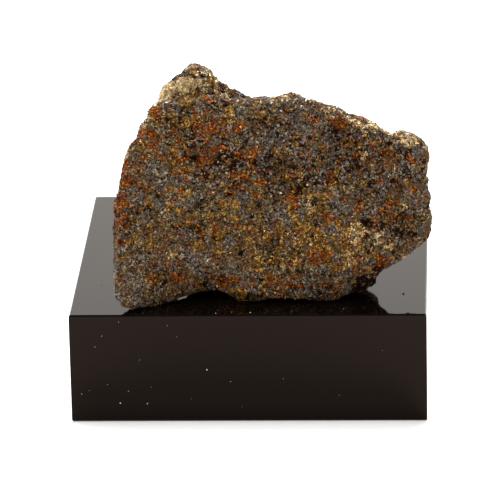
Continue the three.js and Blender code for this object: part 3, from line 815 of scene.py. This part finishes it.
@dataclass
class StoneSkin:
    """The stone's broken surface, a fine copy of the solid with chips and pits. Lengths are in mm."""

    cuts: int = 3
    merging: float = 0.001
    settle_rounds: int = 2
    settle_pace: float = 0.4
    # The level on which the stone stands, how far above it points still lie flat on it, and how far
    # above it the relief is full.
    sole_z: float = TOP
    sole_flat: float = 0.01
    sole_fade: float = 0.5
    chips: tuple[Chips, ...] = (Chips(2.6, 0.06, 0.04), Chips(1.3, 0.1, 0.05), Chips(0.7, 0.2, 0.06))
    # How far the chips' edges wander, and how many waves they make in a millimetre.
    warp: float = 0.9
    warps_per_mm: float = 0.9
    # One cell for each pit, the part of the cells that have none, and a pit's bottom and rim as parts
    # of its cell's width.
    pit_cell: float = 2.1
    pitless: float = 0.72
    pit_rings: tuple[float, float] = (0.1, 0.42)
    pit_depth: float = 0.35
    lowest: float = -0.5
    highest: float = 0.32
    name: str = "stone_skin"

    def build(self, node: bpy.types.Object, finish: GroundmassFinish) -> bpy.types.Object:
        """Makes the skin from the stone's solid.

        Args:
            node: The solid.
            finish: The finish of the ore between the grains.

        Returns:
            The skin, with the minerals' shares as attributes.
        """
        skin = add_object(self.name, self._fine_copy(node))
        skin.data = run_tree(skin, self._relief_tree(), {"Sole": self.sole_z * MM}, self.name)
        self._share_out(skin.data)
        skin.data.materials.clear()
        skin.data.materials.append(finish.build())
        return skin

    def _fine_copy(self, node: bpy.types.Object) -> bpy.types.Mesh:
        """Merges a copy of the solid's loose triangles, cuts each in small ones and softens them.

        Args:
            node: The solid.

        Returns:
            The fine mesh, with its sole as flat as it was.
        """
        work = bmesh.new()
        work.from_mesh(node.data)
        bmesh.ops.remove_doubles(work, verts=work.verts, dist=self.merging * MM)
        bmesh.ops.subdivide_edges(work, edges=work.edges, cuts=self.cuts, use_grid_fill=True)
        bmesh.ops.triangulate(work, faces=work.faces)
        mesh = bpy.data.meshes.new(self.name)
        work.to_mesh(mesh)
        work.free()
        points = coordinates_of(mesh)
        edges = np.empty(len(mesh.edges) * 2, np.int32)
        mesh.edges.foreach_get("vertices", edges)
        a, b = edges.reshape(-1, 2).T
        degree = np.bincount(a, minlength=len(points)) + np.bincount(b, minlength=len(points))
        free = points[:, 2] > (self.sole_z + self.sole_flat) * MM
        for _ in range(self.settle_rounds):
            total = np.zeros_like(points)
            np.add.at(total, a, points[b])
            np.add.at(total, b, points[a])
            pull = total / degree[:, None] - points
            points[free] += self.settle_pace * pull[free]
        mesh.vertices.foreach_set("co", points.astype(np.float32).ravel())
        mesh.update()
        return mesh

    def _relief_tree(self) -> bpy.types.NodeTree:
        """Makes the tree that raises chips of each size and sinks pits, and keeps the sole flat.

        Returns:
            The tree, which also stores the relief's height in mm as an attribute.
        """
        tree, given = new_tree("Broken surface", {"Sole": "NodeSocketFloat"})
        position = add_node(tree, "GeometryNodeInputPosition")
        in_mm = add_node(tree, "ShaderNodeVectorMath", {0: position, "Scale": 1 / MM}, operation="SCALE")
        warp = add_node(
            tree, "ShaderNodeTexNoise", {"Vector": in_mm, "Scale": self.warps_per_mm, "Detail": 2.0}
        )
        bent = add_node(
            tree,
            "ShaderNodeVectorMath",
            {0: warp.outputs["Color"], 1: (self.warp,) * 3, 2: in_mm},
            operation="MULTIPLY_ADD",
        )
        layers = [self._chip_layer(tree, bent, chips) for chips in self.chips]
        height = layers[0]
        for layer in [*layers[1:], self._pit_layer(tree, bent)]:
            height = add_node(tree, "ShaderNodeMath", {0: height, 1: layer}, operation="ADD")
        height = add_node(
            tree, "ShaderNodeClamp", {"Value": height, "Min": self.lowest, "Max": self.highest}
        )
        parts = add_node(tree, "ShaderNodeSeparateXYZ", {"Vector": position})
        above = add_node(
            tree, "ShaderNodeMath", {0: parts.outputs["Z"], 1: given["Sole"]}, operation="SUBTRACT"
        )
        fade = add_node(
            tree,
            "ShaderNodeMapRange",
            {
                "Value": above,
                "From Min": self.sole_flat * MM,
                "From Max": self.sole_fade * MM,
                "To Min": 0.0,
                "To Max": MM,
            },
        )
        push = add_node(tree, "ShaderNodeMath", {0: height, 1: fade}, operation="MULTIPLY")
        normal = add_node(tree, "GeometryNodeInputNormal")
        offset = add_node(tree, "ShaderNodeVectorMath", {0: normal, "Scale": push}, operation="SCALE")
        moved = add_node(
            tree, "GeometryNodeSetPosition", {"Geometry": given["Geometry"], "Offset": offset}
        )
        kept = add_node(
            tree,
            "GeometryNodeStoreNamedAttribute",
            {"Geometry": moved, "Name": "height", "Value": height},
            data_type="FLOAT",
            domain="POINT",
        )
        end_tree(tree, keep_above(tree, kept, given["Sole"]))
        return tree

    @staticmethod
    def _chip_layer(tree: bpy.types.NodeTree, place: bpy.types.Node, chips: Chips) -> bpy.types.Node:
        """Breaks the surface into flat chips, each with its own slope and step.

        Args:
            tree: The Geometry Nodes tree.
            place: The node that gives the place in mm.
            chips: The chips' size.

        Returns:
            The node with the height in mm.
        """
        cells = add_node(tree, "ShaderNodeTexVoronoi", {"Vector": place, "Scale": 1 / chips.width})
        across = add_node(
            tree, "ShaderNodeVectorMath", {0: place, 1: cells.outputs["Position"]}, operation="SUBTRACT"
        )
        lean = add_node(
            tree,
            "ShaderNodeVectorMath",
            {0: cells.outputs["Color"], 1: (2 * chips.slope,) * 3, 2: (-chips.slope,) * 3},
            operation="MULTIPLY_ADD",
        )
        slope = add_node(tree, "ShaderNodeVectorMath", {0: across, 1: lean}, operation="DOT_PRODUCT")
        number = add_node(tree, "FunctionNodeSeparateColor", {"Color": cells.outputs["Color"]})
        level = add_node(
            tree,
            "ShaderNodeMath",
            {0: number.outputs["Green"], 1: 2 * chips.step, 2: -chips.step},
            operation="MULTIPLY_ADD",
        )
        return add_node(tree, "ShaderNodeMath", {0: slope.outputs["Value"], 1: level}, operation="ADD")

    def _pit_layer(self, tree: bpy.types.NodeTree, place: bpy.types.Node) -> bpy.types.Node:
        """Sinks a round pit in some of the cells.

        Args:
            tree: The Geometry Nodes tree.
            place: The node that gives the place in mm.

        Returns:
            The node with the height in mm.
        """
        cells = add_node(tree, "ShaderNodeTexVoronoi", {"Vector": place, "Scale": 1 / self.pit_cell})
        number = add_node(tree, "FunctionNodeSeparateColor", {"Color": cells.outputs["Color"]})
        chosen = add_node(
            tree, "ShaderNodeMath", {0: number.outputs["Blue"], 1: self.pitless}, operation="GREATER_THAN"
        )
        bowl = add_node(
            tree,
            "ShaderNodeMapRange",
            {
                "Value": cells.outputs["Distance"],
                "From Min": self.pit_rings[0],
                "From Max": self.pit_rings[1],
                "To Min": -self.pit_depth,
                "To Max": 0.0,
            },
            interpolation_type="SMOOTHSTEP",
        )
        return add_node(tree, "ShaderNodeMath", {0: chosen, 1: bowl}, operation="MULTIPLY")

    @staticmethod
    def _share_out(mesh: bpy.types.Mesh) -> None:
        """Stores, for each point of the skin, the share that each mineral has of it.

        Args:
            mesh: The skin's mesh, with the relief's height as an attribute.
        """
        points = coordinates_of(mesh) / MM
        height = np.empty(len(points), np.float32)
        mesh.attributes["height"].data.foreach_get("value", height)
        u, w, d = face_coordinates(points)
        u = u + RAG * noise_at(points, RAG_WAVE, RAG_STARTS[0])
        w = w + RAG * noise_at(points, RAG_WAVE, RAG_STARTS[1])
        front = 1.0 - smoothstep(*FACE_DEPTH, d)
        reach = {}
        for mineral in CLUSTER_MM:
            marks = [patch_weight(patch, u, w) for patch in PATCHES[mineral]]
            reach[mineral] = np.max(marks, axis=0) * front
        claim = {mineral: smoothstep(*CLAIM_EDGE, mark) for mineral, mark in reach.items()}
        left = np.ones(len(points))
        found = {}
        for order, (mineral, width) in enumerate(CLUSTER_MM.items()):
            others = np.max([claim[other] for other in claim if other is not mineral], axis=0)
            drift = DRIFT * noise_at(points, DRIFT_WAVE, DRIFT_START + DRIFT_STRIDE * order)
            mark = np.minimum(reach[mineral], PATCH_CAP.get(mineral, 1.0))
            weight = np.maximum(BACKGROUND[mineral] + drift, np.where(mark > OUTSKIRTS, mark, -1.0))
            # Painted shade: dark grains go where the relief sinks into pits.
            if mineral is Mineral.BLACK:
                weight = np.maximum(weight, PIT_PAINTED_SHADE * smoothstep(*PIT_DEPTHS, -height))
            weight = weight * (1.0 - CLAIM_LOSS * others * (1.0 - claim[mineral]))
            found[mineral] = left * clustered(weight, points, width, CLUSTER_STRIDE * order)
            left = left - found[mineral]
        found[Mineral.BROWN] = left
        for mineral, share in found.items():
            layer = mesh.attributes.new(mineral.value, "FLOAT", "POINT")
            layer.data.foreach_set("value", share.astype(np.float32))


def clustered(weight: np.ndarray, points: np.ndarray, width: float, shift: float) -> np.ndarray:
    """Breaks an even share up into clusters of grains.

    Args:
        weight: The share at each point, before.
        points: One row of x, y and z in mm for each point.
        width: The width of one cluster in mm.
        shift: Moves the clusters, so that each mineral has its own.

    Returns:
        One value for each point, near 0 between the clusters and near 1 in them.
    """
    for strength, start, wave in zip(CLUSTER_NOISE, CLUSTER_STARTS, (width, width / 2)):
        weight = weight + strength * noise_at(points, wave, start + shift)
    return smoothstep(*CLUSTER_EDGE, weight)


def face_coordinates(points: np.ndarray) -> tuple[np.ndarray, np.ndarray, np.ndarray]:
    """Places points in the broad face's own frame.

    Args:
        points: One row of x, y and z in mm for each point.

    Returns:
        Along the face, up the face and into the stone, in mm.
    """
    cos_lean, sin_lean = math.cos(FACE_LEAN), math.sin(FACE_LEAN)
    cos_turn, sin_turn = math.cos(FACE_TURN), math.sin(FACE_TURN)
    along = np.array([cos_turn, -sin_turn, 0.0])
    inward = np.array([sin_turn * cos_lean, cos_turn * cos_lean, -sin_lean])
    up = np.cross(along, inward)
    rest = points - FACE_CENTRE
    return rest @ along, rest @ up, rest @ inward


def noise_at(points: np.ndarray, size: float, shift: float) -> np.ndarray:
    """Smooth noise at each point, from about -0.5 to 0.5.

    Args:
        points: One row of x, y and z in mm for each point.
        size: The noise's wave in mm.
        shift: Moves the pattern, so that each use has its own.

    Returns:
        One value for each point.
    """
    scaled = points / size + shift
    return np.array([noise.noise(Vector(row)) for row in scaled.tolist()])


def patch_weight(patch: Patch, u: np.ndarray, w: np.ndarray) -> np.ndarray:
    """How strongly a patch marks each point, 1 inside it and 0 well outside.

    Args:
        patch: The patch.
        u: The points' places along the face in mm.
        w: The points' places up the face in mm.

    Returns:
        One value for each point.
    """
    turn = math.radians(patch.turn)
    du, dw = u - patch.u, w - patch.w
    lengthwise = (du * math.cos(turn) + dw * math.sin(turn)) / patch.half_length
    crosswise = (dw * math.cos(turn) - du * math.sin(turn)) / patch.half_width
    spread = lengthwise**2 + crosswise**2
    return patch.strength * np.exp(-PATCH_FADE * spread**2)


@dataclass
class Grains:
    """One kind of mineral grain, scattered on the skin where the mineral has its share.

    The size is in mm and the lean in radians. Spread, sunk and wear are parts of the size, and
    flatness is the height's part of the width.
    """

    piece: str
    mineral: Mineral
    seed: int
    finish: GrainFinish
    per_mm2: float = 46.0
    size: float = 0.23
    spread: float = 0.45
    flatness: float = 0.7
    lean: float = 0.7
    sunk: float = 0.12
    wear: float = 0.16

    def build(self, skin: bpy.types.Object, sole: float) -> bpy.types.Object:
        """Scatters the grains.

        Args:
            skin: The stone's skin, with the minerals' shares.
            sole: The level of the block's top in metres.

        Returns:
            The grains as one mesh object.
        """
        values = {
            "Share": self.mineral.value,
            "Grains per m2": self.per_mm2 / MM**2,
            "Size": self.size * MM,
            "Spread": self.spread,
            "Flatness": self.flatness,
            "Lean": self.lean,
            "Sunk": self.sunk,
            "Wear": self.wear,
            "Sole": sole,
            "Seed": self.seed,
            "Finish": self.finish.build(),
        }
        return add_object(self.piece, run_tree(skin, scatter_tree(), values, self.piece))


# A grain is the corner of a crystal, three faces that meet in a tip: its radius and height, and how
# far each may be stretched, for a size of 1.
CORNER_RADIUS = 0.75
CORNER_HEIGHT = 0.6
LEAST_STRETCH = (0.35, 0.35, 0.6)
MOST_STRETCH = (1.62, 1.62, 1.2)


def scatter_tree() -> bpy.types.NodeTree:
    """Makes the Geometry Nodes tree that scatters grains on a surface.

    Returns:
        The tree, made once for all kinds of grain.
    """
    name = "Scatter grains"
    if name in bpy.data.node_groups:
        return bpy.data.node_groups[name]
    number = "NodeSocketFloat"
    tree, given = new_tree(
        name,
        {
            "Share": "NodeSocketString",
            "Grains per m2": number,
            "Size": number,
            "Spread": number,
            "Flatness": number,
            "Lean": number,
            "Sunk": number,
            "Wear": number,
            "Sole": number,
            "Seed": "NodeSocketInt",
            "Finish": "NodeSocketMaterial",
        },
    )
    seed, lean = given["Seed"], given["Lean"]
    share = add_node(
        tree, "GeometryNodeInputNamedAttribute", {"Name": given["Share"]}, data_type="FLOAT"
    )
    density = add_node(
        tree, "ShaderNodeMath", {0: share, 1: given["Grains per m2"]}, operation="MULTIPLY"
    )
    points = add_node(
        tree,
        "GeometryNodeDistributePointsOnFaces",
        {"Mesh": given["Geometry"], "Density": density, "Seed": seed},
        distribute_method="RANDOM",
    )
    small = add_node(tree, "ShaderNodeMath", {0: 1.0, 1: given["Spread"]}, operation="SUBTRACT")
    large = add_node(tree, "ShaderNodeMath", {0: 1.0, 1: given["Spread"]}, operation="ADD")
    grown = add_node(
        tree, "FunctionNodeRandomValue", {"Min": small, "Max": large, "Seed": seed}, data_type="FLOAT"
    )
    size = add_node(tree, "ShaderNodeMath", {0: grown, 1: given["Size"]}, operation="MULTIPLY")
    depth = add_node(tree, "ShaderNodeMath", {0: size, 1: given["Sunk"]}, operation="MULTIPLY")
    down = add_node(tree, "ShaderNodeMath", {0: depth, 1: -1.0}, operation="MULTIPLY")
    drop = add_node(
        tree, "ShaderNodeVectorMath", {0: points.outputs["Normal"], "Scale": down}, operation="SCALE"
    )
    seated = add_node(
        tree, "GeometryNodeSetPosition", {"Geometry": points.outputs["Points"], "Offset": drop}
    )
    back = add_node(tree, "ShaderNodeMath", {0: lean, 1: -1.0}, operation="MULTIPLY")
    low = add_node(tree, "ShaderNodeCombineXYZ", {"X": back, "Y": back, "Z": 0.0})
    high = add_node(tree, "ShaderNodeCombineXYZ", {"X": lean, "Y": lean, "Z": math.tau})
    turn = add_node(
        tree, "FunctionNodeRandomValue", {"Min": low, "Max": high, "Seed": seed}, data_type="FLOAT_VECTOR"
    )
    as_turn = add_node(tree, "FunctionNodeEulerToRotation", {"Euler": turn})
    turned = add_node(
        tree,
        "FunctionNodeRotateRotation",
        {"Rotation": points.outputs["Rotation"], "Rotate By": as_turn},
        rotation_space="LOCAL",
    )
    stretch = add_node(
        tree,
        "FunctionNodeRandomValue",
        {"Min": LEAST_STRETCH, "Max": MOST_STRETCH, "Seed": seed},
        data_type="FLOAT_VECTOR",
    )
    squash = add_node(tree, "ShaderNodeCombineXYZ", {"X": 1.0, "Y": 1.0, "Z": given["Flatness"]})
    shape = add_node(tree, "ShaderNodeVectorMath", {0: stretch, 1: squash}, operation="MULTIPLY")
    scale = add_node(tree, "ShaderNodeVectorMath", {0: shape, "Scale": size}, operation="SCALE")
    corner = add_node(
        tree,
        "GeometryNodeMeshCone",
        {"Vertices": 3, "Radius Top": 0.0, "Radius Bottom": CORNER_RADIUS, "Depth": CORNER_HEIGHT},
        fill_type="NONE",
    )
    placed = add_node(
        tree,
        "GeometryNodeInstanceOnPoints",
        {"Points": seated, "Instance": corner.outputs["Mesh"], "Rotation": turned, "Scale": scale},
    )
    tone = add_node(
        tree, "FunctionNodeRandomValue", {"Min": 0.0, "Max": 1.0, "Seed": seed}, data_type="FLOAT"
    )
    toned = add_node(
        tree,
        "GeometryNodeStoreNamedAttribute",
        {"Geometry": placed, "Name": "tone", "Value": tone},
        data_type="FLOAT",
        domain="INSTANCE",
    )
    real = add_node(tree, "GeometryNodeRealizeInstances", {"Geometry": toned})
    reach = add_node(tree, "ShaderNodeMath", {0: given["Wear"], 1: given["Size"]}, operation="MULTIPLY")
    way = add_node(
        tree,
        "FunctionNodeRandomValue",
        {"Min": (-1.0, -1.0, -1.0), "Max": (1.0, 1.0, 1.0), "Seed": seed},
        data_type="FLOAT_VECTOR",
    )
    shove = add_node(tree, "ShaderNodeVectorMath", {0: way, "Scale": reach}, operation="SCALE")
    worn = add_node(tree, "GeometryNodeSetPosition", {"Geometry": real, "Offset": shove})
    end_tree(tree, keep_above(tree, worn, given["Sole"]), given["Finish"])
    return tree


GRAINS = (
    Grains(
        "grey_grains",
        Mineral.GREY,
        3,
        GrainFinish(
            "Galena and grey sphalerite, broken",
            ("#2d2620", "#483f37", "#554c45", "#635852", "#494446", "#706456", "#554b3f", "#877a69"),
            roughness=0.45,
        ),
    ),
    Grains(
        "tan_grains",
        Mineral.TAN,
        4,
        GrainFinish(
            "Pale sphalerite and calcite, sugary",
            ("#352910", "#4d4121", "#5d4e2e", "#6b5b38", "#504226", "#786644", "#45391e", "#8c7954"),
            roughness=0.55,
        ),
    ),
    Grains(
        "brown_grains",
        Mineral.BROWN,
        5,
        GrainFinish(
            "Brown sphalerite, cleaved",
            ("#2b190b", "#432b15", "#53381f", "#604327", "#6d4e30", "#523f28", "#7b5a3a", "#5d4933"),
            roughness=0.5,
        ),
    ),
    Grains(
        "rust_grains",
        Mineral.RUST,
        7,
        GrainFinish(
            "Iron ochre, earthy",
            ("#311203", "#542607", "#71390b", "#8b4a10", "#431a04", "#ab661d", "#612e0c"),
            roughness=0.7,
        ),
    ),
    Grains(
        "honey_grains",
        Mineral.HONEY,
        11,
        GrainFinish(
            "Cleophane, honey-coloured, cleaved",
            ("#3a2606", "#543b0c", "#6e4d13", "#895f1c", "#4b350a", "#ad8033"),
            roughness=0.35,
            ior=1.3,
        ),
    ),
    Grains(
        "cream_grains",
        Mineral.CREAM,
        13,
        GrainFinish(
            "Weathered calcite, sugary",
            ("#a08459", "#c0a679", "#d8be92", "#efdcb6", "#b0966c", "#ccb286"),
            roughness=0.6,
        ),
    ),
    # Dark grains: scattered dark sphalerite, and painted shade where they gather in the pits and along the
    # bottom edge.
    Grains(
        "black_grains",
        Mineral.BLACK,
        17,
        GrainFinish(
            "Dark sphalerite in the pits",
            ("#0c0502", "#170a04", "#231006", "#2f180a"),
            roughness=0.6,
            ior=1.06,
        ),
        per_mm2=42.0,
        size=0.22,
        sunk=0.3,
    ),
)


@dataclass
class Dust:
    """Specks that fell from the stone and stick to the block."""

    flecks: tuple[Fleck, ...]
    finish: GrainFinish
    piece: str = "dust"
    least_stretch: float = 0.5
    most_stretch: float = 1.1
    turn_seed: int = 2
    stretch_seed: int = 4

    def build(self) -> bpy.types.Object:
        """Makes the specks.

        Returns:
            All specks as one mesh object.
        """
        mesh = bpy.data.meshes.new(self.piece)
        mesh.from_pydata([(f.x * MM, f.y * MM, f.z * MM) for f in self.flecks], [], [])
        for label in ("width", "tone"):
            layer = mesh.attributes.new(label, "FLOAT", "POINT")
            layer.data.foreach_set("value", [getattr(f, label) for f in self.flecks])
        dust = add_object(self.piece, mesh)
        dust.data = run_tree(dust, self._tree(), {"Finish": self.finish.build()}, self.piece)
        return dust

    def _tree(self) -> bpy.types.NodeTree:
        """Makes the Geometry Nodes tree that puts a small broken lump on every point.

        Returns:
            The tree.
        """
        tree, given = new_tree("Dust", {"Finish": "NodeSocketMaterial"})
        width = add_node(tree, "GeometryNodeInputNamedAttribute", {"Name": "width"}, data_type="FLOAT")
        in_metres = add_node(tree, "ShaderNodeMath", {0: width, 1: MM}, operation="MULTIPLY")
        lump = add_node(tree, "GeometryNodeMeshIcoSphere", {"Radius": 0.5, "Subdivisions": 1})
        turn = add_node(
            tree,
            "FunctionNodeRandomValue",
            {"Min": (0.0, 0.0, 0.0), "Max": (math.tau,) * 3, "Seed": self.turn_seed},
            data_type="FLOAT_VECTOR",
        )
        stretch = add_node(
            tree,
            "FunctionNodeRandomValue",
            {
                "Min": (self.least_stretch,) * 3,
                "Max": (self.most_stretch,) * 3,
                "Seed": self.stretch_seed,
            },
            data_type="FLOAT_VECTOR",
        )
        placed = add_node(
            tree,
            "GeometryNodeInstanceOnPoints",
            {
                "Points": given["Geometry"],
                "Instance": lump.outputs["Mesh"],
                "Rotation": add_node(tree, "FunctionNodeEulerToRotation", {"Euler": turn}),
                "Scale": add_node(
                    tree, "ShaderNodeVectorMath", {0: stretch, "Scale": in_metres}, operation="SCALE"
                ),
            },
        )
        real = add_node(tree, "GeometryNodeRealizeInstances", {"Geometry": placed})
        end_tree(tree, real, given["Finish"])
        return tree


@dataclass(frozen=True)
class Softbox:
    """A square lamp: its middle and its side in mm, and its power in watts."""

    name: str
    place: tuple[float, float, float]
    side: float
    power: float


@dataclass
class Studio:
    """Plain pale floor, a bright sweep behind it, soft lights and the camera, all in mm."""

    floor_side: float = 6000.0
    floor_drop: float = 0.02
    floor_colour: str = "#dcdcdc"
    glow_colour: str = "#fffefb"
    floor_glow: float = 0.2
    softboxes: tuple[Softbox, ...] = (
        Softbox("overhead_softbox", (-120.0, 60.0, 620.0), 460.0, 5.8),
        Softbox("rim_softbox", (60.0, 420.0, 420.0), 300.0, 11.5),
        Softbox("front_fill", (-420.0, -520.0, 420.0), 300.0, 1.2),
    )
    aim: tuple[float, float, float] = (0.0, 0.0, 30.0)
    # The sweep's brightness at its foot and above it, the heights between which it fades, how far
    # behind it starts and is full, and the room's brightness elsewhere.
    sweep_levels: tuple[float, float] = (2.35, 0.5)
    sweep_heights: tuple[float, float] = (0.25, 0.6)
    sweep_starts: tuple[float, float] = (0.1, 0.7)
    room_level: float = 0.45
    room_colour: str = "#fffcf6"
    lens: float = 326.9
    nearest: float = 50.0
    eye: tuple[float, float, float] = (30.13, -615.42, 241.84)
    pitch: float = 20.09
    yaw: float = -2.863
    roll: float = -1.239

    def build(self) -> None:
        """Makes the floor, the world, the lights and the camera."""
        self._floor()
        self._world()
        for softbox in self.softboxes:
            self._lamp(softbox)
        self._camera()
        bpy.context.scene.view_settings.view_transform = "Standard"

    def _floor(self) -> None:
        """A white sheet that stays clear of shadows, as it glows a little itself."""
        work = bmesh.new()
        bmesh.ops.create_grid(work, x_segments=1, y_segments=1, size=self.floor_side * MM / 2)
        bmesh.ops.translate(work, verts=work.verts, vec=(0, 0, -self.floor_drop * MM))
        mesh = bpy.data.meshes.new("floor")
        work.to_mesh(mesh)
        work.free()
        material, _, shader = new_material("White paper, matt")
        shader.inputs["Base Color"].default_value = linear(self.floor_colour)
        shader.inputs["Roughness"].default_value = 1.0
        shader.inputs["Emission Color"].default_value = linear(self.glow_colour)
        shader.inputs["Emission Strength"].default_value = self.floor_glow
        mesh.materials.append(material)
        add_object("floor", mesh)

    def _world(self) -> None:
        """A dim room with a bright sweep low behind the object, fading upwards."""
        world = bpy.data.worlds.new("Studio")
        world.use_nodes = True
        tree = world.node_tree
        way = add_node(tree, "ShaderNodeTexCoord").outputs["Generated"]
        parts = add_node(tree, "ShaderNodeSeparateXYZ", {"Vector": way})
        rise = add_node(
            tree,
            "ShaderNodeMapRange",
            {
                "Value": parts.outputs["Z"],
                "From Min": self.sweep_heights[0],
                "From Max": self.sweep_heights[1],
                "To Min": self.sweep_levels[0],
                "To Max": self.sweep_levels[1],
            },
            interpolation_type="SMOOTHSTEP",
        )
        behind = add_node(
            tree,
            "ShaderNodeMapRange",
            {
                "Value": parts.outputs["Y"],
                "From Min": self.sweep_starts[0],
                "From Max": self.sweep_starts[1],
            },
            interpolation_type="SMOOTHSTEP",
        )
        level = add_node(
            tree, "ShaderNodeMix", {"Factor": behind, "A": self.room_level, "B": rise}, data_type="FLOAT"
        )
        back = tree.nodes["Background"]
        back.inputs["Color"].default_value = linear(self.room_colour)
        tree.links.new(first_output(level), back.inputs["Strength"])
        bpy.context.scene.world = world

    def _lamp(self, softbox: Softbox) -> None:
        """Sets up one softbox so that it faces the stone.

        Args:
            softbox: The softbox.
        """
        light = bpy.data.lights.new(softbox.name, "AREA")
        light.shape = "SQUARE"
        light.size = softbox.side * MM
        light.energy = softbox.power
        lamp = add_object(softbox.name, light)
        lamp.location = Vector(softbox.place) * MM
        way = Vector(self.aim) * MM - lamp.location
        lamp.rotation_mode = "QUATERNION"
        lamp.rotation_quaternion = way.to_track_quat("-Z", "Y")

    def _camera(self) -> None:
        """The camera at the photograph's place, turned and tilted as it was."""
        pitch, yaw, roll = (math.radians(a) for a in (self.pitch, self.yaw, self.roll))
        level = Vector((math.cos(yaw), -math.sin(yaw), 0.0))
        ahead = Vector(
            (math.sin(yaw) * math.cos(pitch), math.cos(yaw) * math.cos(pitch), -math.sin(pitch))
        )
        upright = level.cross(ahead)
        right = level * math.cos(roll) + upright * math.sin(roll)
        up = upright * math.cos(roll) - level * math.sin(roll)
        data = bpy.data.cameras.new("camera")
        data.lens = self.lens
        data.clip_start = self.nearest * MM
        camera = add_object("camera", data)
        turn = Matrix((right, up, -ahead)).transposed()
        camera.matrix_world = Matrix.Translation(Vector(self.eye) * MM) @ turn.to_4x4()
        bpy.context.scene.camera = camera


def main() -> None:
    """Builds the stone's skin and grains, dresses the block and sets the studio."""
    logging.basicConfig(level=logging.INFO, format="%(message)s")
    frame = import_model()
    Studio().build()

    skin_maker = StoneSkin()
    skin = skin_maker.build(frame["nodes"][STONE_NODE], GroundmassFinish())
    LOG.info("%s: %d triangles", skin.name, len(skin.data.polygons))
    pieces = [grains.build(skin, skin_maker.sole_z * MM) for grains in GRAINS]
    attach(skin, BODY)
    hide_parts(STONE_NODE)
    dust = Dust(DUST, GrainFinish("Ore dust", ("#e0d8c8", "#a89e8e", "#2a2019"), roughness=0.8))
    pieces.append(dust.build())
    for piece in pieces:
        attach(piece, BODY)
        LOG.info("%s: %d faces", piece.name, len(piece.data.polygons))

    block = frame["nodes"][BLOCK_NODE]
    block.data.materials.clear()
    block.data.materials.append(AcrylicFinish().build())


if __name__ == "__main__":
    main()
